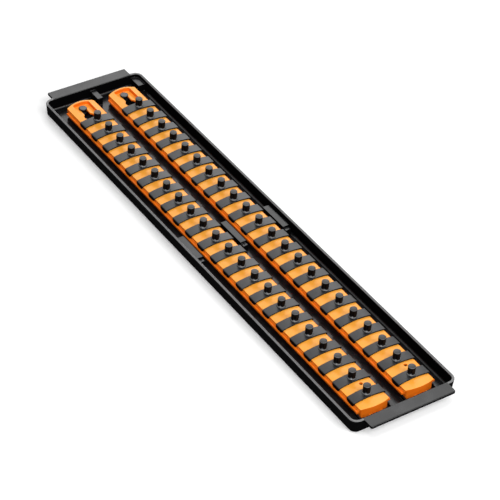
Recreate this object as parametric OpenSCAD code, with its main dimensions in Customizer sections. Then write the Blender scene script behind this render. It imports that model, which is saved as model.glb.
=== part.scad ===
// Two-rail socket organizer tray: a long moulded tray with two removable rails, each
// carrying a row of sliding clips whose posts hold 1/4 inch drive sockets.
// X runs across the tray, +Y to the keyhole end, +Z up, with the origin at the centre of
// the footprint on the surface that the tray stands on.

/* [Clips] */
// Number of clips on each rail
clips_per_rail = 22; // [4:1:26]
// Distance from one clip to the next
clip_pitch = 18.8; // [15:0.1:26]
// Length of a clip's band along the rail
clip_len = 9.1; // [7:0.1:12]
// Thickness of the band over the crown of the rail
clip_t = 1.2; // [0.8:0.1:2]
// Thickness of the clip's two side walls
clip_side_t = 1.05; // [0.8:0.05:1.8]
// Height of the hook at the foot of each side wall
hook_h = 0.85; // [0.6:0.05:1.1]
// Radius of the lower corners of a side wall
side_corner_r = 2.4; // [0.5:0.1:3]
// Diameter of the drive post
post_d = 6.1; // [5:0.1:7.4]
// Height of the drive post above the band
post_h = 7.6; // [6:0.1:12]
// Height of the round head on the post
head_h = 1.6; // [1:0.1:2.5]
// Width of the four relief grooves down the post
flute_w = 1.7; // [1:0.1:2]
// Diameter of the collar at the foot of the post
collar_d = 7.6; // [7.4:0.1:9]

/* [Rails] */
// Width of the crowned top of a rail
rail_w = 26.6; // [21:0.2:34]
// Height of the crown above the tray floor
rail_h = 9.75; // [8:0.05:12]
// Rise of the crown from the edges to the middle
crown_rise = 1.4; // [0.8:0.1:2]
// Height of the side face of the top plate
lip_h = 1.05; // [0.8:0.05:1.6]
// Height of the side groove that the clips hook into
groove_h = 1.4; // [1.2:0.05:2]
// Depth of that groove
groove_d = 1.0; // [0.8:0.05:1.4]
// How far the ledge stands out past the top plate
ledge_out = 2.0; // [1.2:0.1:3]
// Thickness of the ledge
ledge_t = 1.8; // [1.2:0.1:2]
// Thickness of the rail's walls and top plate
rail_t = 1.7; // [1.2:0.1:2.2]
// From the first clip to the back end of the rail
rail_head = 32.0; // [30:0.2:40]
// From the last clip to the front end of the rail
rail_nose = 14.1; // [13.5:0.1:20]
// Length of the solid nose in front of the ledges
nose_len = 4.3; // [4.2:0.1:7]
// Radius of the arc that ends the rail at the back
back_bow_r = 30.4; // [25:0.2:60]
// Radius of the arc that ends the nose
nose_bow_r = 29; // [25:0.5:60]
// Corner radius of the nose
nose_corner_r = 1.8; // [1:0.1:4]

/* [Keyhole] */
// Half width of the recess around the keyhole
pocket_half_w = 7.8; // [6.5:0.1:9]
// Depth of the recess below the crown
pocket_depth = 3.9; // [3:0.1:4.5]
// Distance the rail slides back before it lifts off
slide_travel = 11.3; // [9.5:0.1:13]
// From the first clip to the stud at rest
stud_from_clip = 24.8; // [24:0.1:26]
// Diameter of the stud's head
stud_head_d = 7.1; // [5.8:0.1:7.4]
// Thickness of the stud's head
stud_head_t = 1.4; // [1:0.1:1.8]
// Diameter of the stud's neck
stud_neck_d = 4.8; // [4:0.1:5.2]
// Diameter of the stud's shank in the tray
stud_shank_d = 3.8; // [3:0.1:4]
// Diameter of the small round hole near the front of a rail
peep_d = 3.0; // [1.6:0.1:4]

/* [Tray] */
// Height of the rim above the surface that the tray stands on
tray_h = 12.5; // [10:0.1:20]
// Width of the rim
wall = 2.2; // [1.6:0.1:3]
// Thickness of the floor
floor_t = 2.0; // [1.5:0.1:3]
// Clear width between the two rails' ledges
centre_channel = 10.6; // [9:0.1:16]
// Clear width between a ledge and the rim beside it
side_channel = 9.8; // [9:0.1:16]
// Gap between a nose and the front rim
front_gap = 6.4; // [5:0.1:9]
// Outer corner radius
corner_r = 7.0; // [6:0.1:12]
// How far the walls lean in outside, from rim to base
wall_draft = 1.0; // [0.6:0.1:1.4]
// How far they lean in inside
inner_draft = 0.5; // [0.3:0.1:1]
// Rounding of the outer base edge
base_round = 2.5; // [1:0.1:3]
// Rounding between wall and floor inside
inner_round = 2.0; // [0.8:0.1:2.2]

/* [End flanges] */
// Width of each end flange
flange_w = 77; // [50:1:80]
// How far each flange stands out from the rim
flange_len = 9.2; // [6:0.1:14]
// Thickness of the flanges
flange_t = 2.0; // [1.5:0.1:3]

/* [Moulded blocks] */
// Width of the bars beside the rails
bar_w = 5.6; // [4:0.1:6.4]
// Length of the bars
bar_len = 29.7; // [20:0.1:40]
// Height of the bars above the floor
bar_h = 7.1; // [5:0.1:9]
// Length of the low step at the front of a bar
step_len = 3.6; // [2.5:0.1:6]
// Width of the two end blocks
block_w = 5.3; // [4:0.1:6.4]
// Height of the end blocks above the floor
block_h = 7.1; // [4:0.1:8]
// How far an end block reaches from the back rim
block_len = 13.8; // [10:0.1:18]

/* [Hidden] */
$fn = 64;
fit = 0.15;                 // clearance between flat sliding faces
loose = 0.3;                // clearance of a loose fit, and between curved faces
eps = 0.01;                 // overlap that lets a cut break the surface
corner_turn = 15;           // degrees past the bow's own direction at which a corner starts

// Across the tray
ledge_w = rail_w + 2 * ledge_out;
rail_x = (ledge_w + centre_channel) / 2;
tray_w = 2 * rail_x + ledge_w + 2 * side_channel + 2 * wall;
clip_w = rail_w + 2 * (fit + clip_side_t);

// Along the tray
row_len = (clips_per_rail - 1) * clip_pitch;
rail_len = rail_head + row_len + rail_nose;
back_gap = slide_travel + inner_draft + loose;
tray_l = rail_len + front_gap + back_gap + 2 * wall;
first_clip_y = tray_l / 2 - wall - back_gap - rail_head;
nose_y = -row_len - rail_nose;

// Heights of the rail, above the underside of the tray
crown_z = floor_t + rail_h;
edge_z = crown_z - crown_rise;
groove_top_z = edge_z - lip_h;
ledge_z = groove_top_z - groove_h;
ledge_under_z = ledge_z - ledge_t;
pocket_z = crown_z - pocket_depth;
pocket_under_z = pocket_z - rail_t;
crown_r = (pow(rail_w / 2, 2) + pow(crown_rise, 2)) / (2 * crown_rise);
plate_edge_r = 0.45 * lip_h;

// Legs, hollow and tail of the rail; the tail stands clear of the tray's inner rounding
tail_len = 5.8;
tail_z = floor_t + inner_round + loose;
leg_half_w = rail_w / 2 - groove_d;
hollow_half_w = leg_half_w - rail_t;
rib_pitch = 3 * clip_pitch;
nose_inset = 0.3;

// Keyhole: the wide hole lies ahead of the stud by the travel and a little more
neck_slot_r = stud_neck_d / 2 + loose;
hole_ease = 1.15;
wide_hole_r = stud_head_d / 2 + hole_ease;
wide_hole_y = stud_from_clip - slide_travel - hole_ease / 5;
pocket_wall_t = 1.7;
pocket_front_y = clip_len / 2 - 0.6;
pocket_corner_r = 2;
boss_r = stud_shank_d / 2 + 2;
boss_top_z = pocket_under_z - 0.2;
peep_x = 3.0;
peep_y = -row_len + clip_pitch / 2 + 1.5;

// Tongue on the nose and its catch on the front wall
tongue_w = 12;
tongue_t = 1.4;
tongue_z = floor_t + 0.6;
tongue_len = front_gap - 2.2;
catch_len = front_gap - 1.2;
catch_z = tongue_z + tongue_t + loose;
catch_t = 2;
catch_cheek = 2;

// Cradle walls beside the nose
cradle_t = 1.3;
cradle_gap = 0.9;
cradle_len = nose_len + 2.2;
cradle_top_z = min(floor_t + 2.6, ledge_under_z - 0.6);

// Moulded blocks
bar_y = 3.0;
step_h = bar_h - 1.7;
step_w = bar_w - 1.2;
ramp_run = 1.2;
pinhole_d = 0.9;
side_bar_x = rail_x + ledge_w / 2 + centre_channel / 2;
web_t = 1.4;

// Rim groove on the two long sides
rim_groove_w = 0.5;
rim_groove_d = 0.35;
rim_groove_in = 0.9;

// Clip
clip_edge_r = 0.8;
clip_plan_r = 0.6;
hook_z = ledge_z + loose;
band_top_z = crown_z + loose + clip_t;
collar_h = 0.9;
flute_depth = 0.75;
head_chamfer = 0.6;
hook_reach = groove_d - 0.25 + fit;

BLACK = "#2b2c2e";
ORANGE = "#f58a12";

function pad(i) = i < 10 ? str("0", i) : str(i);
function clip_name(side, i) = str("clip_", side, "_", pad(i));
function clip_y(i) = first_clip_y - (i - 1) * clip_pitch;

// ---------------------------------------------------------------- plane shapes

// Rectangle centred on X, from y0 to y1
module strip(half_w, y0, y1) {
    translate([-half_w, y0]) square([2 * half_w, y1 - y0]);
}

// Rectangle with four round corners, centred
module round_rect(w, l, r) {
    square([w - 2 * r, l], center = true);
    square([w, l - 2 * r], center = true);
    for (x = [-1, 1], y = [-1, 1]) translate([x * (w / 2 - r), y * (l / 2 - r)]) circle(r);
}

// End of a strip that bows out to y = 0, reaching back to y = -depth. Its round corners
// stand a little proud of the bow where they face its way, so that the two cross cleanly
module bowed_end(half_w, bow_r, r, depth) {
    corner_x = half_w - r;
    lean = asin(corner_x / (bow_r - r));
    cross_x = corner_x + r * sin(lean + corner_turn);
    corner_y = sqrt(pow(bow_r, 2) - pow(cross_x, 2)) - bow_r - r * cos(lean + corner_turn);
    intersection() {
        translate([0, -bow_r]) circle(bow_r, $fn = 360);
        union() {
            strip(half_w, -depth, corner_y);
            for (side = [-1, 1]) translate([side * corner_x, corner_y]) circle(r);
            strip(corner_x + r * sin(lean), -depth, 1);
        }
    }
}

// Outline of the rail's top plate, or of a line parallel to it by `grow`
module rail_plan(grow = 0) {
    depth = 14;
    translate([0, rail_head + grow])
        bowed_end(rail_w / 2 + grow, back_bow_r + grow, 1.2 + grow, depth);
    translate([0, nose_y - grow]) mirror([0, 1])
        bowed_end(rail_w / 2 + grow, nose_bow_r + grow, nose_corner_r + grow, depth);
    strip(rail_w / 2 + grow, nose_y + depth - 1, rail_head - depth + 1);
}

// ---------------------------------------------------------------- tray

// Wall with its share of the floor, from the corner's centre (x = 0) out to the rim
module wall_section(groove) {
    base_x = corner_r - wall_draft;
    in_x = corner_r - wall - inner_draft;
    fillet_z = floor_t + inner_round;
    difference() {
        union() {
            polygon([
                [0, 0], [base_x - base_round, 0], [base_x - base_round, base_round],
                [base_x, base_round], [corner_r, tray_h], [0, tray_h]
            ]);
            translate([base_x - base_round, base_round]) circle(base_round);
        }
        polygon([
            [-1, fillet_z], [in_x, fillet_z], [corner_r - wall, tray_h],
            [corner_r - wall, tray_h + 1], [-1, tray_h + 1]
        ]);
        translate([-1, floor_t]) square([in_x - inner_round + 1, inner_round + eps]);
        translate([in_x - inner_round, fillet_z]) circle(inner_round);
        if (groove)
            translate([corner_r - rim_groove_in - rim_groove_w, tray_h - rim_groove_d])
                square([rim_groove_w, 1]);
    }
}

// Straight wall of the given length, its corner line on the Y axis
module straight_wall(length, groove) {
    translate([0, length / 2, 0]) rotate([90, 0, 0])
        linear_extrude(length) wall_section(groove);
}

module tray_shell() {
    core_x = tray_w / 2 - corner_r;
    core_y = tray_l / 2 - corner_r;
    translate([-core_x, -core_y, 0]) cube([2 * core_x, 2 * core_y, floor_t]);
    for (side = [0, 180]) {
        rotate([0, 0, side]) translate([core_x, 0, 0]) straight_wall(2 * core_y, true);
        rotate([0, 0, side + 90]) translate([core_y, 0, 0]) straight_wall(2 * core_x, false);
    }
    for (x = [-1, 1], y = [-1, 1])
        translate([x * core_x, y * core_y, 0])
            rotate([0, 0, x > 0 ? (y > 0 ? 0 : -90) : (y > 0 ? 90 : 180)])
                rotate_extrude(angle = 90) wall_section(false);
}

// Flat flange on one end, flush with the rim, its outer top edge rounded over
module end_flange() {
    edge_r = 0.8;
    root = wall;
    intersection() {
        rotate([90, 0, 90]) linear_extrude(flange_w, center = true) {
            translate([-root, tray_h - flange_t]) square([root + flange_len - edge_r, flange_t]);
            translate([-root, tray_h - flange_t]) square([root + flange_len, flange_t - edge_r]);
            translate([flange_len - edge_r, tray_h - edge_r]) circle(edge_r);
        }
        translate([0, (flange_len - root) / 2, 0])
            linear_extrude(2 * tray_h) round_rect(flange_w, flange_len + root, 1.2);
    }
}

// Bar beside a rail, with a low step and a short ramp in front of it
module side_bar() {
    front = bar_y - bar_len / 2;
    translate([-bar_w / 2, front, floor_t - eps]) cube([bar_w, bar_len, bar_h + eps]);
    difference() {
        translate([-step_w / 2, 0, 0]) rotate([90, 0, 90]) linear_extrude(step_w)
            polygon([
                [front + eps, floor_t - eps], [front + eps, floor_t + step_h],
                [front - step_len, floor_t + step_h],
                [front - step_len - ramp_run, floor_t - eps]
            ]);
        translate([0, front - step_len / 2, floor_t + step_h - 1.5])
            cylinder(d = pinhole_d, h = 2, $fn = 24);
    }
}

// Webs that tie an outer bar to the wall beside it
module bar_webs() {
    reach = tray_w / 2 - wall - side_bar_x;
    for (y = [-0.3, 0.3])
        translate([0, bar_y + y * bar_len - web_t / 2, floor_t - eps])
            cube([reach, web_t, step_h]);
}

// Cradle and catch that take one nose, in the rail's own place
module nose_seat() {
    wall_y = nose_y - front_gap;
    cradle_x = leg_half_w + cradle_gap;
    for (side = [-1, 1])
        translate([side > 0 ? cradle_x : -cradle_x - cradle_t, wall_y - eps, floor_t - eps])
            cube([cradle_t, front_gap + cradle_len + eps, cradle_top_z - floor_t + eps]);
    half_w = tongue_w / 2 + loose;
    translate([-half_w - catch_cheek, wall_y - eps, catch_z])
        cube([2 * (half_w + catch_cheek), catch_len + eps, catch_t]);
    for (side = [-1, 1])
        translate([side > 0 ? half_w : -half_w - catch_cheek, wall_y - eps, floor_t - eps])
            cube([catch_cheek, catch_len + eps, catch_z - floor_t + 2 * eps]);
}

module tray() {
    color(BLACK) difference() {
        union() {
            tray_shell();
            for (turn = [0, 180]) rotate([0, 0, turn]) translate([0, tray_l / 2, 0]) end_flange();
            side_bar();
            for (side = [-1, 1]) translate([side * side_bar_x, 0, 0]) side_bar();
            translate([side_bar_x, 0, 0]) bar_webs();
            mirror([1, 0, 0]) translate([side_bar_x, 0, 0]) bar_webs();
            back_y = tray_l / 2 - wall - block_len;
            translate([-block_w / 2, back_y, floor_t - eps])
                cube([block_w, block_len + wall / 2, block_h + eps]);
            translate([side_bar_x - block_w / 2, back_y, floor_t - eps])
                cube([tray_w / 2 - wall / 2 - wall_draft - side_bar_x + block_w / 2,
                      block_len + wall / 2, block_h + eps]);
            for (side = [-1, 1]) translate([side * rail_x, first_clip_y, 0]) {
                nose_seat();
                translate([0, stud_from_clip, floor_t - eps])
                    cylinder(r = boss_r, h = boss_top_z - floor_t + eps);
            }
        }
        for (side = [-1, 1])
            translate([side * rail_x, first_clip_y + stud_from_clip, -1])
                cylinder(d = stud_shank_d + 0.1, h = boss_top_z + 2);
    }
}

// ---------------------------------------------------------------- stud

// Mushroom stud: shank in the tray's boss, shoulder on it, neck in the keyhole, flat head
module rail_stud() {
    head_z = pocket_z + loose;
    top_z = head_z + stud_head_t;
    head_r = stud_head_d / 2;
    soften = 0.35;
    color(BLACK) rotate_extrude() {
        translate([0, 0.6]) square([stud_shank_d / 2, boss_top_z - 0.6]);
        translate([0, boss_top_z]) square([stud_neck_d / 2, head_z - boss_top_z]);
        translate([0, head_z]) square([head_r, stud_head_t - soften]);
        polygon([
            [0, top_z - soften], [head_r, top_z - soften],
            [head_r - soften, top_z], [0, top_z]
        ]);
    }
}

// ---------------------------------------------------------------- rail

// Carries a section drawn across the rail along it, from y0 to y1
module along(y0, y1) {
    translate([0, y1, 0]) rotate([90, 0, 0]) linear_extrude(y1 - y0) children();
}

// Everything more than `drop` below the crown
module crown_solid(drop) {
    along(nose_y - 1, rail_head + 1)
        translate([0, crown_z - crown_r]) circle(crown_r - drop, $fn = 360);
}

module rail_hollow() {
    depth = 8;
    back = rail_head - rail_t;
    intersection() {
        linear_extrude(crown_z) {
            strip(hollow_half_w, nose_y + nose_len, back - depth + 1);
            translate([0, back]) bowed_end(hollow_half_w, back_bow_r - rail_t, 1.2, depth);
        }
        crown_solid(rail_t);
    }
}

module rail_shell() {
    difference() {
        union() {
            // crowned top plate with soft long edges
            intersection() {
                linear_extrude(crown_z + 1) rail_plan();
                along(nose_y - 1, rail_head + 1) translate([0, crown_z])
                    bowed_end(rail_w / 2, crown_r, plate_edge_r, crown_z - groove_top_z);
            }
            // two legs, and the nose, set in under the plate and solid down to the floor
            translate([0, 0, floor_t]) linear_extrude(groove_top_z - floor_t + eps) {
                strip(leg_half_w, nose_y + nose_len, rail_head - tail_len + 1);
                translate([0, nose_y + nose_inset]) mirror([0, 1])
                    bowed_end(leg_half_w, nose_bow_r - nose_inset, nose_corner_r, nose_len + 1);
            }
            // skirt of the tail
            translate([0, 0, tail_z]) linear_extrude(groove_top_z - tail_z + eps)
                intersection() {
                    rail_plan();
                    strip(rail_w, rail_head - tail_len, rail_head + 1);
                }
            // ledge along both sides
            translate([0, 0, ledge_under_z]) linear_extrude(ledge_t)
                strip(rail_w / 2 + ledge_out, nose_y + nose_len, rail_head - tail_len);
        }
        rail_hollow();
    }
}

// Cross ribs inside the hollow that carry the plate, clear of the stud's path
module rail_ribs() {
    count = floor((row_len + rail_nose - nose_len) / rib_pitch);
    for (i = [1:count])
        intersection() {
            translate([-hollow_half_w - eps, -(i - 0.5) * rib_pitch, floor_t])
                cube([2 * (hollow_half_w + eps), rail_t, rail_h]);
            crown_solid(rail_t / 2);
        }
}

// Recess around the keyhole, `grow` larger than its inside
module pocket_plan(grow) {
    depth = 12;
    back = rail_head - pocket_wall_t + grow;
    half_w = pocket_half_w + grow;
    r = pocket_corner_r + grow;
    translate([0, back]) bowed_end(half_w, back_bow_r - pocket_wall_t + grow, r, depth);
    translate([0, (back + pocket_front_y - grow) / 2 - depth / 4])
        round_rect(2 * half_w, back - pocket_front_y + grow - depth / 2, r);
}

module keyhole_plan() {
    translate([0, wide_hole_y]) circle(wide_hole_r);
    translate([0, stud_from_clip]) circle(neck_slot_r);
    strip(neck_slot_r, wide_hole_y, stud_from_clip);
}

module rail() {
    color(ORANGE) difference() {
        union() {
            rail_shell();
            rail_ribs();
            // box that carries the recess under the plate
            intersection() {
                translate([0, 0, pocket_under_z]) linear_extrude(2 * pocket_depth) pocket_plan(rail_t);
                crown_solid(rail_t / 2);
                linear_extrude(2 * crown_z) rail_plan(-0.5);
            }
            // tongue that slips under the catch on the front wall
            translate([-tongue_w / 2, nose_y - tongue_len, tongue_z])
                cube([tongue_w, tongue_len + nose_len / 2, tongue_t]);
        }
        translate([0, 0, pocket_z]) linear_extrude(2 * pocket_depth) pocket_plan(0);
        translate([0, 0, pocket_under_z - 1]) linear_extrude(rail_t + 2) keyhole_plan();
        translate([peep_x, peep_y, crown_z - 2 * rail_t]) cylinder(d = peep_d, h = 3 * rail_t);
    }
}

// ---------------------------------------------------------------- clip

// Section across the rail: an arched band, two side walls and their hooks
module clip_section() {
    side_x = rail_w / 2 + fit;
    inside_z = crown_z + loose;
    difference() {
        translate([0, band_top_z])
            bowed_end(clip_w / 2, crown_r + loose + clip_t, clip_edge_r, band_top_z - hook_z);
        intersection() {
            translate([0, inside_z - crown_r - loose]) circle(crown_r + loose, $fn = 360);
            strip(side_x, hook_z - 1, inside_z + 1);
        }
    }
    for (side = [-1, 1])
        translate([side > 0 ? side_x - hook_reach : -side_x - eps, hook_z])
            square([hook_reach + eps, hook_h]);
}

// Side view of a clip: square at the top, its two lower corners round
module clip_side() {
    strip(clip_len / 2, hook_z + side_corner_r, band_top_z + 1);
    strip(clip_len / 2 - side_corner_r, hook_z, band_top_z);
    for (end = [-1, 1])
        translate([end * (clip_len / 2 - side_corner_r), hook_z + side_corner_r])
            circle(side_corner_r);
}

module drive_post() {
    r = post_d / 2;
    collar_r = collar_d / 2;
    foot_z = band_top_z - clip_t / 2;
    top_z = band_top_z + post_h;
    flute_z = band_top_z + collar_h;
    difference() {
        rotate_extrude() polygon([
            [0, foot_z], [collar_r, foot_z], [collar_r, band_top_z + collar_h / 3],
            [r, band_top_z + collar_h], [r, top_z - head_chamfer],
            [r - head_chamfer, top_z], [0, top_z]
        ]);
        for (turn = [45:90:315]) rotate([0, 0, turn])
            translate([r + flute_w / 2 - flute_depth, 0, flute_z])
                cylinder(d = flute_w, h = post_h - collar_h - head_h, $fn = 32);
    }
}

module clip(side, i) {
    color(BLACK) translate([side * rail_x, clip_y(i), 0]) {
        intersection() {
            along(-clip_len / 2, clip_len / 2) clip_section();
            rotate([90, 0, 90]) linear_extrude(2 * clip_w, center = true) clip_side();
            linear_extrude(band_top_z + 1) round_rect(clip_w, clip_len, clip_plan_r);
        }
        drive_post();
    }
}

// ---------------------------------------------------------------- nodes

tray();

translate([-rail_x, first_clip_y + stud_from_clip, 0]) rail_stud();  // rail_stud_left
translate([rail_x, first_clip_y + stud_from_clip, 0]) rail_stud();  // rail_stud_right

translate([-rail_x, first_clip_y, 0]) rail();  // rail_left
translate([rail_x, first_clip_y, 0]) rail();  // rail_right

for (i = [1:clips_per_rail]) {
    clip(-1, i);
    clip(1, i);
}
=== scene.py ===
"""Looks of the two-rail socket organizer tray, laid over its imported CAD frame."""
import bmesh
import bpy
import numpy as np
from mathutils import Matrix


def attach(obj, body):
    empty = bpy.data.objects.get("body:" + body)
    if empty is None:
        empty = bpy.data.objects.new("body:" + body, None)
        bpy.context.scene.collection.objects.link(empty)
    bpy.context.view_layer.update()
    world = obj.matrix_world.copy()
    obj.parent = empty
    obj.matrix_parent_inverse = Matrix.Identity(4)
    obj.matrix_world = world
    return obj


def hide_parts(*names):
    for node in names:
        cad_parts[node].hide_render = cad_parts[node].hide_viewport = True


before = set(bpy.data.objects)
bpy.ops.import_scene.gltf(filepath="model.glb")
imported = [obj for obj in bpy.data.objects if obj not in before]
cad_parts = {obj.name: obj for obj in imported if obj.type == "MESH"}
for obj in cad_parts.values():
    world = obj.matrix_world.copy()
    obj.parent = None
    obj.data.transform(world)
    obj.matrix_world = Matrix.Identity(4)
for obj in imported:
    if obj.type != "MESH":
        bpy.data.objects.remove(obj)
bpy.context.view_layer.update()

MM = 0.001

# Sizes repeated from the part's source, in millimetres
CLIPS_PER_RAIL = 22
CLIP_PITCH = 18.8
FIRST_CLIP_Y = 185.6
RAIL_X = 20.6
CROWN_Z = 11.75
CROWN_R = 63.88
CLIP_GAP = 0.3
CLIP_T = 1.2
CLIP_HALF_W = 14.5
CLIP_IN_HALF_W = 13.45
CLIP_HALF_LEN = 4.55
CLIP_CORNER_R = 0.8
CLIP_SIDE_CORNER_R = 2.4
HOOK_Z = 8.2
HOOK_TOP_Z = 9.05
HOOK_IN_HALF_W = 12.55
BAND_TOP_Z = CROWN_Z + CLIP_GAP + CLIP_T
POST_R = 3.05
POST_H = 7.6
COLLAR_H = 0.9
HEAD_H = 1.6
FLUTE_R = 0.85
FLUTE_DEPTH = 0.75
FLUTE_AXIS = POST_R + FLUTE_R - FLUTE_DEPTH

# Finer shape of a clip's band, in millimetres
BAND_EDGE_R = 0.28         # rounding along all its edges
INNER_CORNER_W = 0.35      # inner corner between arch and side wall, across
INNER_CORNER_RISE = 0.37   # and in height
INNER_CORNER_DROP = 0.3    # how far below the arch's own end that corner stops
WALL_Z = np.array([10.95, 10.5, 10.0, 9.6, 9.3, HOOK_TOP_Z + 0.02, HOOK_TOP_Z,
                   8.8, 8.55, 8.38, 8.27, HOOK_Z])   # heights of the rings down a side wall
ARCH_RINGS = 14            # rings from the crown to the corner
CORNER_RINGS = 6
BAND_EDGE_STEPS = 3

# Finer shape of a clip's post, in millimetres
COLLAR_R = 3.68            # a little inside the source's collar
COLLAR_PROFILE = np.array([[COLLAR_R, -0.8], [COLLAR_R, 0.06], [COLLAR_R, 0.16],
                           [COLLAR_R - 0.05, 0.23], [POST_R + 0.08, COLLAR_H - 0.1],
                           [POST_R + 0.02, COLLAR_H - 0.03]])   # radius, height over the band
FLUTE_RUNOUT = 0.35        # length over which a groove fades in and out
FLUTE_RINGS = np.array([0, 0.08, FLUTE_RUNOUT, 1.2])   # distance of rings from a groove's end
HEAD_SOFT = 0.6            # rounding of the head's rim
HEAD_CROWN = 0.12          # rise of the head's top
CROWN_RING_R = [1.2, 0.5]
CROWN_RING_DROP = np.array([0.03, 0])
HEAD_RINGS = 6
POST_TURNS = 80            # points round the post

# How far the edges of the CAD nodes' own shapes are rounded over, in millimetres
TRAY_ROUND = 0.3
RIM_LOOPS = (12.4, 232.2, 0.75)   # the tray's top edge: lowest z, farthest y, rounding
RAIL_ROUND = 0.35
STUD_ROUND = 0.2
ROUND_STEPS = 4
JOINED_WITHIN = 0.002      # corners of a CAD node's copy as near as this are one
CLIP_JOINED_WITHIN = 0.0001
LONG_EDGE = 40             # edges longer than this are rounded one by one
LOOP_EDGES = 10            # a run of more edges than this is a loop of the rim

# Angles between neighbouring faces, in degrees
FLAT_TURN = 0.6            # faces that turn by less are made one
ROUNDED_TURN = 28          # edges that turn by more are rounded over
CREASE_TURN = 33           # edges that still turn by more are shaded as creases
CLIP_CREASE_TURN = 40      # and those of a clip


# ------------------------------------------------------------------ surfaces

def ring_surface(rings):
    """(vertices, faces) of a closed surface from a grid of points, one ring a row. The last
    point of a ring joins its first, and flat caps close the first and the last ring."""
    count, around = rings.shape[:2]
    index = np.arange(count * around).reshape(count, around)
    index = np.hstack([index, index[:, :1]])
    corners = [index[:-1, :-1], index[:-1, 1:], index[1:, 1:], index[1:, :-1]]
    faces = np.stack(corners, axis=-1).reshape(-1, 4).tolist()
    faces.append(index[0, :-1][::-1].tolist())
    faces.append(index[-1, :-1].tolist())
    return rings.reshape(-1, 3), faces


def moved(part, dx, dy):
    """The same surface shifted across and along the tray, in millimetres."""
    points, faces = part
    return points + [dx, dy, 0], faces


def add_object(name, data):
    """Object at the origin with the given data, put into the scene."""
    obj = bpy.data.objects.new(name, data)
    bpy.context.scene.collection.objects.link(obj)
    return obj


def add_piece(name, mesh):
    """Object whose normals are weighted by area, so that faces beside a rounding look flat."""
    obj = add_object(name, mesh)
    weigh = obj.modifiers.new("face_weighted_normals", "WEIGHTED_NORMAL")
    weigh.keep_sharp = True
    return obj


def mesh_piece(name, parts):
    """One object from closed surfaces given in millimetres, turned to face outwards and
    smooth except across creases."""
    verts, faces, start = [], [], 0
    for points, part_faces in parts:
        verts.append(points)
        faces += [[i + start for i in f] for f in part_faces]
        start += len(points)
    mesh = bpy.data.meshes.new(name)
    mesh.from_pydata((np.vstack(verts) * MM).tolist(), [], faces)
    bm = bmesh.new()
    bm.from_mesh(mesh)
    bmesh.ops.remove_doubles(bm, verts=bm.verts, dist=CLIP_JOINED_WITHIN * MM)
    bmesh.ops.recalc_face_normals(bm, faces=bm.faces)
    bm.to_mesh(mesh)
    bm.free()
    mesh.shade_smooth()
    mesh.set_sharp_from_angle(angle=np.radians(CLIP_CREASE_TURN))
    return add_piece(name, mesh)


def sharp_edges(bm, turn=ROUNDED_TURN):
    """Edges whose two faces turn by more than turn degrees."""
    return [e for e in bm.edges
            if len(e.link_faces) == 2 and e.calc_face_angle() > np.radians(turn)]


def joined_runs(edges):
    """The edges sorted into runs that share corners."""
    left, runs = dict.fromkeys(edges), []
    while left:
        first = next(iter(left))
        del left[first]
        run = [first]
        for edge in run:
            for near in (n for v in edge.verts for n in v.link_edges):
                if near in left:
                    del left[near]
                    run.append(near)
        runs.append(run)
    return runs


def softened_copy(name, node, width, rim=None):
    """A CAD node's own shape with its loose triangles joined, flat faces dissolved, and its
    sharp edges rounded over by up to width millimetres. Where rim is given as (lowest z,
    farthest y, width), the long loops of edges up there are rounded first, by their own width.
    A run of edges is rounded no wider than its shortest edge lets it, so the long straight
    edges are done one by one before the rest."""
    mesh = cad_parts[node].data.copy()
    mesh.name = name
    bm = bmesh.new()
    bm.from_mesh(mesh)
    bmesh.ops.remove_doubles(bm, verts=bm.verts, dist=JOINED_WITHIN * MM)
    bmesh.ops.dissolve_limit(bm, angle_limit=np.radians(FLAT_TURN), verts=bm.verts,
                             edges=bm.edges)

    def round_over(edges, by):
        bmesh.ops.bevel(bm, geom=edges, offset=by * MM, offset_type="OFFSET",
                        segments=ROUND_STEPS, profile=0.5, affect="EDGES", clamp_overlap=True)
    if rim:
        low, far, by = rim
        top = [e for e in sharp_edges(bm)
               if all(v.co.z > low * MM and abs(v.co.y) < far * MM for v in e.verts)]
        for run in joined_runs(top):
            if len(run) > LOOP_EDGES:
                round_over(run, by)
    for edge in [e for e in sharp_edges(bm) if e.calc_length() > LONG_EDGE * MM]:
        if edge.is_valid:
            round_over([edge], width)
    for run in joined_runs(sharp_edges(bm)):
        if all(e.is_valid for e in run):
            round_over(run, width)
    bmesh.ops.remove_doubles(bm, verts=bm.verts, dist=JOINED_WITHIN * MM)
    # creases are marked here, because the copy also holds the normals of the CAD's triangles
    bm.normal_update()
    for face in bm.faces:
        face.smooth = True
    for edge in sharp_edges(bm, CREASE_TURN):
        edge.smooth = False
    bm.to_mesh(mesh)
    bm.free()
    return add_piece(name, mesh)


# ------------------------------------------------------------------ clip

def arch_z(x, top_z, radius):
    """Height over x of an arc with its crown at top_z: top_z - r + sqrt(r^2 - x^2)."""
    return top_z - radius + np.sqrt(radius ** 2 - x ** 2)


def side_half_length(z):
    """Half length of a side wall at height z: full above its round lower corner, and
    l - r + sqrt(r^2 - (r - h)^2) at h above the bottom."""
    rise = np.clip(z - HOOK_Z, 0, CLIP_SIDE_CORNER_R)
    return (CLIP_HALF_LEN - CLIP_SIDE_CORNER_R
            + np.sqrt(CLIP_SIDE_CORNER_R ** 2 - (CLIP_SIDE_CORNER_R - rise) ** 2))


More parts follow.
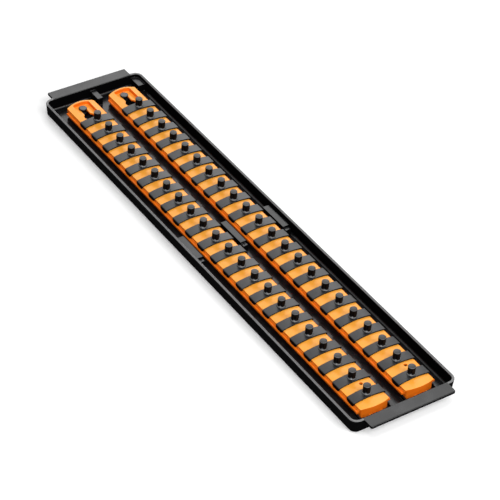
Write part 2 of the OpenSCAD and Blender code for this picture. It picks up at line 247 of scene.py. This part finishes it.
def band_lines():
    """Outside and inside of the band's cross-section, as x and z from the crown to the foot of
    the right wall, with as many points each. Outside: an arc, a small arc tangent to it and to
    the wall, then the wall straight down. Inside: the arc over the rail's crown, a quarter of
    an ellipse, then the wall, which steps in at the hook."""
    outer_r, inner_r = CROWN_R + CLIP_GAP + CLIP_T, CROWN_R + CLIP_GAP
    inner_top = CROWN_Z + CLIP_GAP
    x_corner = CLIP_HALF_W - CLIP_CORNER_R
    z_corner = BAND_TOP_Z - outer_r + np.sqrt((outer_r - CLIP_CORNER_R) ** 2 - x_corner ** 2)
    lean = np.arcsin(x_corner / (outer_r - CLIP_CORNER_R))
    x_touch = x_corner + CLIP_CORNER_R * np.sin(lean)

    across = np.linspace(0, x_touch, ARCH_RINGS)
    turn = np.linspace(lean, np.pi / 2, CORNER_RINGS + 1)[1:]
    outer = np.vstack([
        np.stack([across, arch_z(across, BAND_TOP_Z, outer_r)], 1),
        np.stack([x_corner + CLIP_CORNER_R * np.sin(turn),
                  z_corner + CLIP_CORNER_R * np.cos(turn)], 1),
        np.stack([np.full(len(WALL_Z), CLIP_HALF_W), WALL_Z], 1)])

    in_across = across * (CLIP_IN_HALF_W - INNER_CORNER_W) / x_touch
    ease = np.linspace(0, 1, CORNER_RINGS + 1)[1:]
    arch_end = arch_z(CLIP_IN_HALF_W, inner_top, inner_r)
    hook_x = np.where(WALL_Z > HOOK_TOP_Z, CLIP_IN_HALF_W, HOOK_IN_HALF_W)
    inner = np.vstack([
        np.stack([in_across, arch_z(in_across, inner_top, inner_r)], 1),
        np.stack([CLIP_IN_HALF_W - INNER_CORNER_W + INNER_CORNER_W * np.sin(ease * np.pi / 2),
                  arch_end - INNER_CORNER_DROP + INNER_CORNER_RISE * np.cos(ease * np.pi / 2)],
                 1),
        np.stack([hook_x, WALL_Z], 1)])
    return outer, inner


def clip_band():
    """Arched band with two hooked side walls. A rounded rectangle, as thick as the wall and as
    long as the clip is there, is carried along the arch from one hook to the other. At angle q
    its corner of radius r lies r (1 - sin q) into the wall and r (1 - cos q) short of the
    clip's end."""
    outer, inner = band_lines()
    half_len = np.where(outer[:, 1] < HOOK_Z + CLIP_SIDE_CORNER_R,
                        side_half_length(outer[:, 1]), CLIP_HALF_LEN)

    def mirrored(line):
        return np.vstack([line[:0:-1] * [-1, 1], line])
    outer, inner = mirrored(outer), mirrored(inner)
    length = np.concatenate([half_len[:0:-1], half_len])[:, None]
    wall = np.linalg.norm(inner - outer, axis=1)[:, None]

    quarter = np.linspace(0, np.pi / 2, BAND_EDGE_STEPS + 1)
    dip = BAND_EDGE_R * (1 - np.sin(quarter)) + 0 * wall
    short = length - BAND_EDGE_R * (1 - np.cos(quarter))
    # depth into the wall and place along the clip, once round the rounded rectangle
    depth = np.hstack([dip[:, ::-1], wall - dip, wall - dip[:, ::-1], dip])
    place = np.hstack([short[:, ::-1], short, -short[:, ::-1], -short])
    share = (depth / wall)[..., None]
    line = outer[:, None, :] * (1 - share) + inner[:, None, :] * share
    return ring_surface(np.stack([line[..., 0], place, line[..., 1]], axis=-1))


def drive_post():
    """Post of revolution with four grooves on its diagonals, a conical collar at its foot and
    a crowned head. Its radius at angle a is the least of the profile's own and
    c cos d - sqrt(r^2 - c^2 sin^2 d), the near side of a groove of radius r about an axis c
    out, with d the angle from that axis."""
    top = BAND_TOP_Z + POST_H
    foot = BAND_TOP_Z + COLLAR_H
    groove_top = top - HEAD_H
    shaft_z = np.concatenate([foot + FLUTE_RINGS, groove_top - FLUTE_RINGS[::-1]])
    # two rings near its ends keep the side of the head straight
    side_z = [groove_top + 0.1, top - HEAD_CROWN - HEAD_SOFT - 0.05]
    bend = np.linspace(0, np.pi / 2, HEAD_RINGS)
    profile_z = np.concatenate([
        BAND_TOP_Z + COLLAR_PROFILE[:, 1], shaft_z, side_z,
        top - HEAD_CROWN - HEAD_SOFT * (1 - np.sin(bend)), top - CROWN_RING_DROP])
    profile_r = np.concatenate([
        COLLAR_PROFILE[:, 0], np.full(len(shaft_z) + len(side_z), POST_R),
        POST_R - HEAD_SOFT * (1 - np.cos(bend)), CROWN_RING_R])

    angle = np.linspace(0, 2 * np.pi, POST_TURNS, endpoint=False)
    off = np.abs((angle % (np.pi / 2)) - np.pi / 4)
    reach = FLUTE_R ** 2 - (FLUTE_AXIS * np.sin(off)) ** 2
    groove = np.where(reach > 0, FLUTE_AXIS * np.cos(off) - np.sqrt(np.maximum(reach, 0)),
                      POST_R)
    groove = np.minimum(groove, POST_R)
    fade = np.interp(profile_z, [foot, foot + FLUTE_RUNOUT, groove_top - FLUTE_RUNOUT,
                                 groove_top], [0, 1, 1, 0])
    radius = profile_r[:, None] - (POST_R - groove)[None, :] * fade[:, None]
    return ring_surface(np.stack([radius * np.cos(angle), radius * np.sin(angle),
                                  np.repeat(profile_z[:, None], POST_TURNS, 1)], axis=-1))


# ------------------------------------------------------------------ materials

SCRATCH_PER_METRE = (2600.0, 90.0, 900.0)   # scratches are this dense along x, y and z
PATCH_LEVELS = (0.45, 0.75)       # level of a cloud at which its mask starts and is full
SCRATCH_LEVELS = (0.66, 0.74)
HIGHLIGHT_TILT = (0.15, 0.45)    # height part of the normal at which the painted highlight starts and is full
HIGHLIGHT_BLEND = 0.2            # height over which the painted highlight sets in, in millimetres
GRAIN_DETAIL, DRIFT_DETAIL, PATCH_DETAIL, SCRATCH_DETAIL = 3.0, 4.0, 5.0, 2.0


class Tree:
    """Shorthand for adding and joining the nodes of one tree."""

    def __init__(self, tree):
        self.tree = tree

    def add(self, kind, **values):
        node = self.tree.nodes.new(kind)
        for key, value in values.items():
            setattr(node, key, value)
        return node

    def feed(self, value, socket):
        """Joins another node's output to a socket, or sets a plain value on it."""
        if isinstance(value, bpy.types.NodeSocket):
            self.tree.links.new(value, socket)
        else:
            socket.default_value = value

    def object_axes(self, which):
        """X, Y and Z outputs of the piece's own place, "Object", or of its "Normal"."""
        apart = self.add("ShaderNodeSeparateXYZ")
        self.feed(self.add("ShaderNodeTexCoord").outputs[which], apart.inputs[0])
        return apart.outputs

    def math(self, operation, first, second=None, clamp=False):
        node = self.add("ShaderNodeMath", operation=operation, use_clamp=clamp)
        self.feed(first, node.inputs[0])
        if second is not None:
            self.feed(second, node.inputs[1])
        return node.outputs[0]

    def noise(self, place, scale, detail):
        node = self.add("ShaderNodeTexNoise")
        for key, value in (("Vector", place), ("Scale", scale), ("Detail", detail)):
            self.feed(value, node.inputs[key])
        return node.outputs["Fac"]

    def mix(self, factor, first, second):
        """Colour mix; each colour is three numbers or another node's output."""
        node = self.add("ShaderNodeMix", data_type="RGBA")
        self.feed(factor, node.inputs["Factor"])
        for label, colour in (("A", first), ("B", second)):
            # a colour mix holds its colour sockets after those for floats and vectors
            socket = [s for s in node.inputs if s.name == label and s.type == "RGBA"][0]
            self.feed((*colour, 1) if isinstance(colour, tuple) else colour, socket)
        return [s for s in node.outputs if s.type == "RGBA"][0]

    def span(self, value, low, high, to_low=0.0, to_high=1.0):
        """Smooth step from to_low at low to to_high at high."""
        node = self.add("ShaderNodeMapRange", interpolation_type="SMOOTHSTEP")
        for key, given in (("Value", value), ("From Min", low), ("From Max", high),
                           ("To Min", to_low), ("To Max", to_high)):
            self.feed(given, node.inputs[key])
        return node.outputs["Result"]


def new_group(name, inputs, outputs):
    """Empty shader node group with named sockets for numbers, the inputs with their defaults.
    Gives its tree, what comes into it and what it puts out."""
    group = bpy.data.node_groups.new(name, "ShaderNodeTree")
    for label, value in inputs.items():
        socket = group.interface.new_socket(label, in_out="INPUT",
                                            socket_type="NodeSocketFloat")
        socket.default_value = value
    for label in outputs:
        group.interface.new_socket(label, in_out="OUTPUT", socket_type="NodeSocketFloat")
    t = Tree(group)
    return t, t.add("NodeGroupInput").outputs, t.add("NodeGroupOutput").inputs


def moulded_grain_group():
    """Fine moulding grain: a height for bump and a slow drift of gloss."""
    t, given, out = new_group("moulded_grain",
                              {"Grain per metre": 2500.0, "Drift per metre": 40.0},
                              ["Height", "Drift"])
    place = t.add("ShaderNodeTexCoord").outputs["Object"]
    t.feed(t.noise(place, given["Grain per metre"], GRAIN_DETAIL), out["Height"])
    t.feed(t.noise(place, given["Drift per metre"], DRIFT_DETAIL), out["Drift"])
    return t.tree


def level_face_group():
    """Mask of faces that look up: 0 on walls and undersides, 1 on level faces, from the
    height part of the object's own normal."""
    t, given, out = new_group("level_face", {"Start": 0.15, "Full": 0.7}, ["Mask"])
    t.feed(t.span(t.object_axes("Normal")["Z"], given["Start"], given["Full"]), out["Mask"])
    return t.tree


def handling_wear_group():
    """Rubbed blotches, and fine scratches along the tray, where the mask lets them show."""
    t, given, out = new_group("handling_wear",
                              {"Mask": 1.0, "Amount": 0.5, "Patch per metre": 120.0},
                              ["Wear", "Scratch"])
    place = t.add("ShaderNodeTexCoord").outputs["Object"]
    patch = t.noise(place, given["Patch per metre"], PATCH_DETAIL)
    blotch = t.math("MULTIPLY", t.span(patch, *PATCH_LEVELS), given["Amount"])
    t.feed(t.math("MULTIPLY", blotch, given["Mask"], clamp=True), out["Wear"])
    stretch = t.add("ShaderNodeMapping")
    t.feed(SCRATCH_PER_METRE, stretch.inputs["Scale"])
    t.feed(place, stretch.inputs["Vector"])
    lines = t.noise(stretch.outputs["Vector"], 1.0, SCRATCH_DETAIL)
    t.feed(t.math("MULTIPLY", t.span(lines, *SCRATCH_LEVELS), given["Mask"]), out["Scratch"])
    return t.tree


def edge_highlight_group():
    """Mask for a painted highlight on raised rounded edges: faces above Low, in metres, at
    least From off the tray's centre line, tilted upwards but no flatter than Flattest."""
    t, given, out = new_group("painted_edge_highlight", {"Low": 0.012, "From": 0.0, "Flattest": 2.0},
                              ["Mask"])
    place, normal = t.object_axes("Object"), t.object_axes("Normal")
    high = t.span(t.math("SUBTRACT", place["Z"], given["Low"]), 0.0, HIGHLIGHT_BLEND * MM)
    far = t.math("GREATER_THAN", t.math("ABSOLUTE", place["X"]), given["From"])
    tilted = t.span(normal["Z"], *HIGHLIGHT_TILT)
    not_flat = t.math("LESS_THAN", normal["Z"], given["Flattest"])
    t.feed(t.math("MULTIPLY", t.math("MULTIPLY", high, far),
                  t.math("MULTIPLY", tilted, not_flat)), out["Mask"])
    return t.tree


GRAIN = moulded_grain_group()
LEVEL = level_face_group()
WEAR = handling_wear_group()
EDGE_HIGHLIGHT = edge_highlight_group()

# What all the plastics share
SPECKLE = 0.03             # strength of the grain's bump
SPECKLE_HEIGHT = 0.4       # and its height, in millimetres
DRIFT_BAND = (0.3, 0.7)    # the part of the gloss drift's clouds that shows
ROUGH_DRIFT = 0.06         # how far roughness drifts either way
GLOSS_DRIFT = 0.86         # share of the skin gloss left where it is weakest
SCRATCH_DULLING = 0.25     # share of the gloss that a scratch takes away
SKIRT_BLEND = 0.2          # half width of the change to the ledge's painted shade and weaker gloss, in millimetres


def empty_material(name):
    """Material with no nodes yet, and its tree."""
    mat = bpy.data.materials.new(name)
    mat.use_nodes = True
    mat.node_tree.nodes.clear()
    return mat, Tree(mat.node_tree)


def on_rail_top(t, skirt):
    """Mask of what lies within skirt millimetres of a rail's centre line."""
    across = t.math("ABSOLUTE", t.object_axes("Object")["X"])
    off_rail = t.math("ABSOLUTE", t.math("SUBTRACT", across, RAIL_X * MM))
    return t.span(off_rail, (skirt - SKIRT_BLEND) * MM, (skirt + SKIRT_BLEND) * MM, 1.0, 0.0)


def moulded_plastic(name, level, side, worn, rough, grain, wear, gloss, gloss_side, gloss_rough,
                    skirt=None, edge_highlight=None):
    """Injection-moulded plastic: one colour on faces that look up and a darker one on its
    walls, painted light on the tops and painted shade on the walls, a rubbed colour for worn
    places, a fine grain in the bump, and the moulding's skin gloss as a coat that is full on
    level faces and weak on drawn walls. Level faces more than skirt millimetres off a rail's
    centre line take the walls' colour and gloss, painted shade on the ledge. Where the last
    argument is given as (lowest height, least x, flattest normal, colour), the raised rounded
    edges have that colour, a painted highlight."""
    mat, t = empty_material(name)
    shader = t.add("ShaderNodeBsdfPrincipled")
    t.feed(shader.outputs["BSDF"], t.add("ShaderNodeOutputMaterial").inputs["Surface"])
    facing = t.add("ShaderNodeGroup", node_tree=LEVEL).outputs["Mask"]
    # level faces off the rail's top, on the ledge, take the walls' darker colour and weaker
    # gloss: painted shade
    if skirt:
        facing = t.math("MULTIPLY", facing, on_rail_top(t, skirt))
    grained = t.add("ShaderNodeGroup", node_tree=GRAIN)
    grained.inputs["Grain per metre"].default_value = grain
    rubbed = t.add("ShaderNodeGroup", node_tree=WEAR)
    rubbed.inputs["Amount"].default_value = wear
    t.feed(facing, rubbed.inputs["Mask"])

    # level faces paler than walls: painted light on the tops, painted shade on the walls
    tinted = t.mix(rubbed.outputs["Wear"], t.mix(facing, side, level), worn)
    # painted highlight: raised rounded edges take the given edge colour
    if edge_highlight:
        low, least_x, flattest, highlight_colour = edge_highlight
        edge = t.add("ShaderNodeGroup", node_tree=EDGE_HIGHLIGHT)
        edge.inputs["Low"].default_value = low * MM
        edge.inputs["From"].default_value = least_x * MM
        edge.inputs["Flattest"].default_value = flattest
        tinted = t.mix(edge.outputs["Mask"], tinted, highlight_colour)
    t.feed(tinted, shader.inputs["Base Color"])

    drift = grained.outputs["Drift"]
    t.feed(t.span(drift, *DRIFT_BAND, rough - ROUGH_DRIFT, rough + ROUGH_DRIFT),
           shader.inputs["Roughness"])
    shine = t.span(facing, 0.0, 1.0, gloss_side, gloss)
    scuffed = t.math("SUBTRACT", t.span(drift, *DRIFT_BAND, 1.0, GLOSS_DRIFT),
                     t.math("MULTIPLY", rubbed.outputs["Scratch"], SCRATCH_DULLING))
    t.feed(t.math("MULTIPLY", shine, scuffed, clamp=True), shader.inputs["Coat Weight"])

    bumped = t.add("ShaderNodeBump")
    bumped.inputs["Strength"].default_value = SPECKLE
    bumped.inputs["Distance"].default_value = SPECKLE_HEIGHT * MM
    t.feed(grained.outputs["Height"], bumped.inputs["Height"])
    t.feed(bumped.outputs["Normal"], shader.inputs["Normal"])
    shader.inputs["Coat Roughness"].default_value = gloss_rough
    # the coat alone shines
    shader.inputs["Specular IOR Level"].default_value = 0.0
    return mat


# In each plastic the level colour is paler than the side colour, painted light and shade; an
# edge colour given last in a call is a painted highlight on raised edges
TRAY_BLACK = moulded_plastic(
    "tray_black", level=(0.0050, 0.0050, 0.0056), side=(0.0022, 0.0022, 0.0025),
    worn=(0.022, 0.022, 0.023), rough=0.45, grain=2600.0, wear=0.6,
    gloss=0.78, gloss_side=0.015, gloss_rough=0.22,
    edge_highlight=(11.9, 38.6, 2.0, (0.15, 0.15, 0.152)))
RAIL_ORANGE = moulded_plastic(
    "rail_orange", level=(0.96, 0.385, 0.045), side=(0.95, 0.190, 0.009),
    worn=(0.96, 0.44, 0.07), rough=0.4, grain=1900.0, wear=0.4,
    gloss=0.5, gloss_side=0.3, gloss_rough=0.22, skirt=13.1)
CLIP_GREY = moulded_plastic(
    "clip_grey", level=(0.012, 0.012, 0.013), side=(0.0030, 0.0030, 0.0036),
    worn=(0.022, 0.022, 0.024), rough=0.4, grain=2600.0, wear=0.5,
    gloss=0.85, gloss_side=0.15, gloss_rough=0.33,
    edge_highlight=(13.45, 0.0, 0.9, (0.1, 0.1, 0.102)))
STUD_GREY = moulded_plastic(
    "stud_grey", level=(0.010, 0.010, 0.013), side=(0.004, 0.004, 0.005),
    worn=(0.02, 0.02, 0.023), rough=0.4, grain=2600.0, wear=0.3,
    gloss=1.0, gloss_side=0.2, gloss_rough=0.25)


def paint(obj, material):
    """Gives an object one material and no other."""
    obj.data.materials.clear()
    obj.data.materials.append(material)


def plastic_of(node_name):
    """The plastic that a CAD node is made of."""
    if node_name == "tray":
        return TRAY_BLACK
    if "stud" in node_name:
        return STUD_GREY
    return RAIL_ORANGE if node_name.startswith("rail") else CLIP_GREY


# ------------------------------------------------------------------ pieces

tray = softened_copy("tray_shell", "tray", TRAY_ROUND, rim=RIM_LOOPS)
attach(tray, "tray_body")
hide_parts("tray")
paint(tray, TRAY_BLACK)

band, post = clip_band(), drive_post()
for side, sign in (("left", -1), ("right", 1)):
    rail = softened_copy(f"rail_{side}_moulding", f"rail_{side}", RAIL_ROUND)
    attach(rail, f"rail_{side}_body")
    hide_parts(f"rail_{side}")
    paint(rail, RAIL_ORANGE)

    stud = softened_copy(f"stud_{side}_turned", f"rail_stud_{side}", STUD_ROUND)
    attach(stud, "tray_body")
    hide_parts(f"rail_stud_{side}")
    paint(stud, STUD_GREY)

    for i in range(CLIPS_PER_RAIL):
        y = FIRST_CLIP_Y - i * CLIP_PITCH
        name = f"clip_{side}_{i + 1:02d}"
        clip = mesh_piece(f"{name}_moulding",
                          [moved(part, sign * RAIL_X, y) for part in (band, post)])
        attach(clip, f"{name}_body")
        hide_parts(name)
        paint(clip, CLIP_GREY)

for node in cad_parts.values():
    paint(node, plastic_of(node.name))


# ------------------------------------------------------------------ stage

FLOOR_HALF = 3.0           # metres
FLOOR_GREY = 0.9
FLOOR_GLOW = 0.17          # the floor's own light, for the camera and for gloss
SKY_LIGHT = 0.25           # how strongly the surroundings light the object

# Place of the camera in millimetres, its right and its line of sight, from the rows of posts
CAMERA_PLACE = (-767.5, -1090.1, 1071.5)
CAMERA_RIGHT = (0.83517, -0.54746, 0.05272)
CAMERA_SIGHT = (0.45358, 0.63140, -0.62897)
CAMERA_LENS = 152.47       # millimetres
CAMERA_SENSOR = 36
CAMERA_REACH = (0.05, 20)  # nearest and farthest that it sees, in metres

# Square soft boxes aimed at the tray's middle: place and width in metres, power in watts
SOFT_BOXES = {
    # large, far behind the tray, where level faces mirror it to the camera
    "far_box": ((0.76, 1.18, 1.06), 1.3, 11),
    # low at the back right, mirrored by faces that lean to the right
    "right_box": ((0.79, 0.82, 0.62), 0.33, 0.45),
    # behind the camera, into the fronts and the gaps
    "near_box": ((-1.0, -1.38, 1.46), 0.5, 18),
    # the main light, large, from the front right
    "front_box": ((0.45, -1.55, 1.65), 1.3, 28.5),
    # small and weak, overhead
    "top_box": ((-0.2, -0.3, 1.4), 0.3, 2.5),
}


def unit(vector):
    """The vector at length 1."""
    return vector / np.linalg.norm(vector)


def stand_turned(obj, place, right, back):
    """Puts a lamp or camera at place, in metres, with its right and its back that way."""
    turned = np.eye(4)
    turned[:3] = np.stack([right, np.cross(back, right), back, place], axis=1)
    obj.matrix_world = Matrix(turned.tolist())


def seen_directly(t):
    """1 for rays that show a surface itself, in the picture or mirrored, 0 for its light."""
    ray = t.add("ShaderNodeLightPath").outputs
    return t.math("ADD", t.math("ADD", ray["Is Camera Ray"], ray["Is Glossy Ray"]),
                  ray["Is Transmission Ray"], clamp=True)


def floor_material():
    """Pale floor that keeps its shadows, with a little of its own light for the camera and
    for gloss, so that it reads as white."""
    mat, t = empty_material("pale_floor")
    matt, glow = t.add("ShaderNodeBsdfDiffuse"), t.add("ShaderNodeEmission")
    matt.inputs["Color"].default_value = (FLOOR_GREY, FLOOR_GREY, FLOOR_GREY, 1)
    t.feed(t.math("MULTIPLY", seen_directly(t), FLOOR_GLOW), glow.inputs["Strength"])
    both = t.add("ShaderNodeAddShader")
    t.feed(matt.outputs[0], both.inputs[0])
    t.feed(glow.outputs[0], both.inputs[1])
    t.feed(both.outputs[0], t.add("ShaderNodeOutputMaterial").inputs["Surface"])
    return mat


def make_floor():
    """Flat square at the height that the tray stands on."""
    h = FLOOR_HALF
    mesh = bpy.data.meshes.new("floor")
    mesh.from_pydata([[-h, -h, 0], [h, -h, 0], [h, h, 0], [-h, h, 0]], [], [[0, 1, 2, 3]])
    mesh.materials.append(floor_material())
    add_object("floor", mesh)


def make_world():
    """Even surroundings that look white and light the object more softly than they look."""
    world = bpy.data.worlds.new("studio")
    world.use_nodes = True
    t = Tree(world.node_tree)
    sky = world.node_tree.nodes["Background"]
    sky.inputs["Color"].default_value = (1, 1, 1, 1)
    extra = t.math("MULTIPLY", seen_directly(t), 1 - SKY_LIGHT)
    t.feed(t.math("ADD", extra, SKY_LIGHT), sky.inputs["Strength"])
    bpy.context.scene.world = world


def make_camera():
    """Camera where the photograph was taken from."""
    data = bpy.data.cameras.new("camera")
    data.sensor_width = CAMERA_SENSOR
    data.lens = CAMERA_LENS
    data.clip_start, data.clip_end = CAMERA_REACH
    camera = add_object("camera", data)
    back = unit(-np.array(CAMERA_SIGHT))
    right = np.array(CAMERA_RIGHT)
    right = unit(right - back * right.dot(back))
    stand_turned(camera, np.array(CAMERA_PLACE) * MM, right, back)
    bpy.context.scene.camera = camera


def make_lights():
    """One area lamp for each soft box, level from side to side."""
    for name, (place, width, power) in SOFT_BOXES.items():
        data = bpy.data.lights.new(name, "AREA")
        data.shape = "SQUARE"
        data.size = width
        data.energy = power
        back = unit(np.array(place))
        stand_turned(add_object(name, data), place, unit(np.cross([0, 0, 1.0], back)), back)


make_floor()
make_world()
make_camera()
make_lights()
bpy.context.scene.view_settings.view_transform = "Standard"
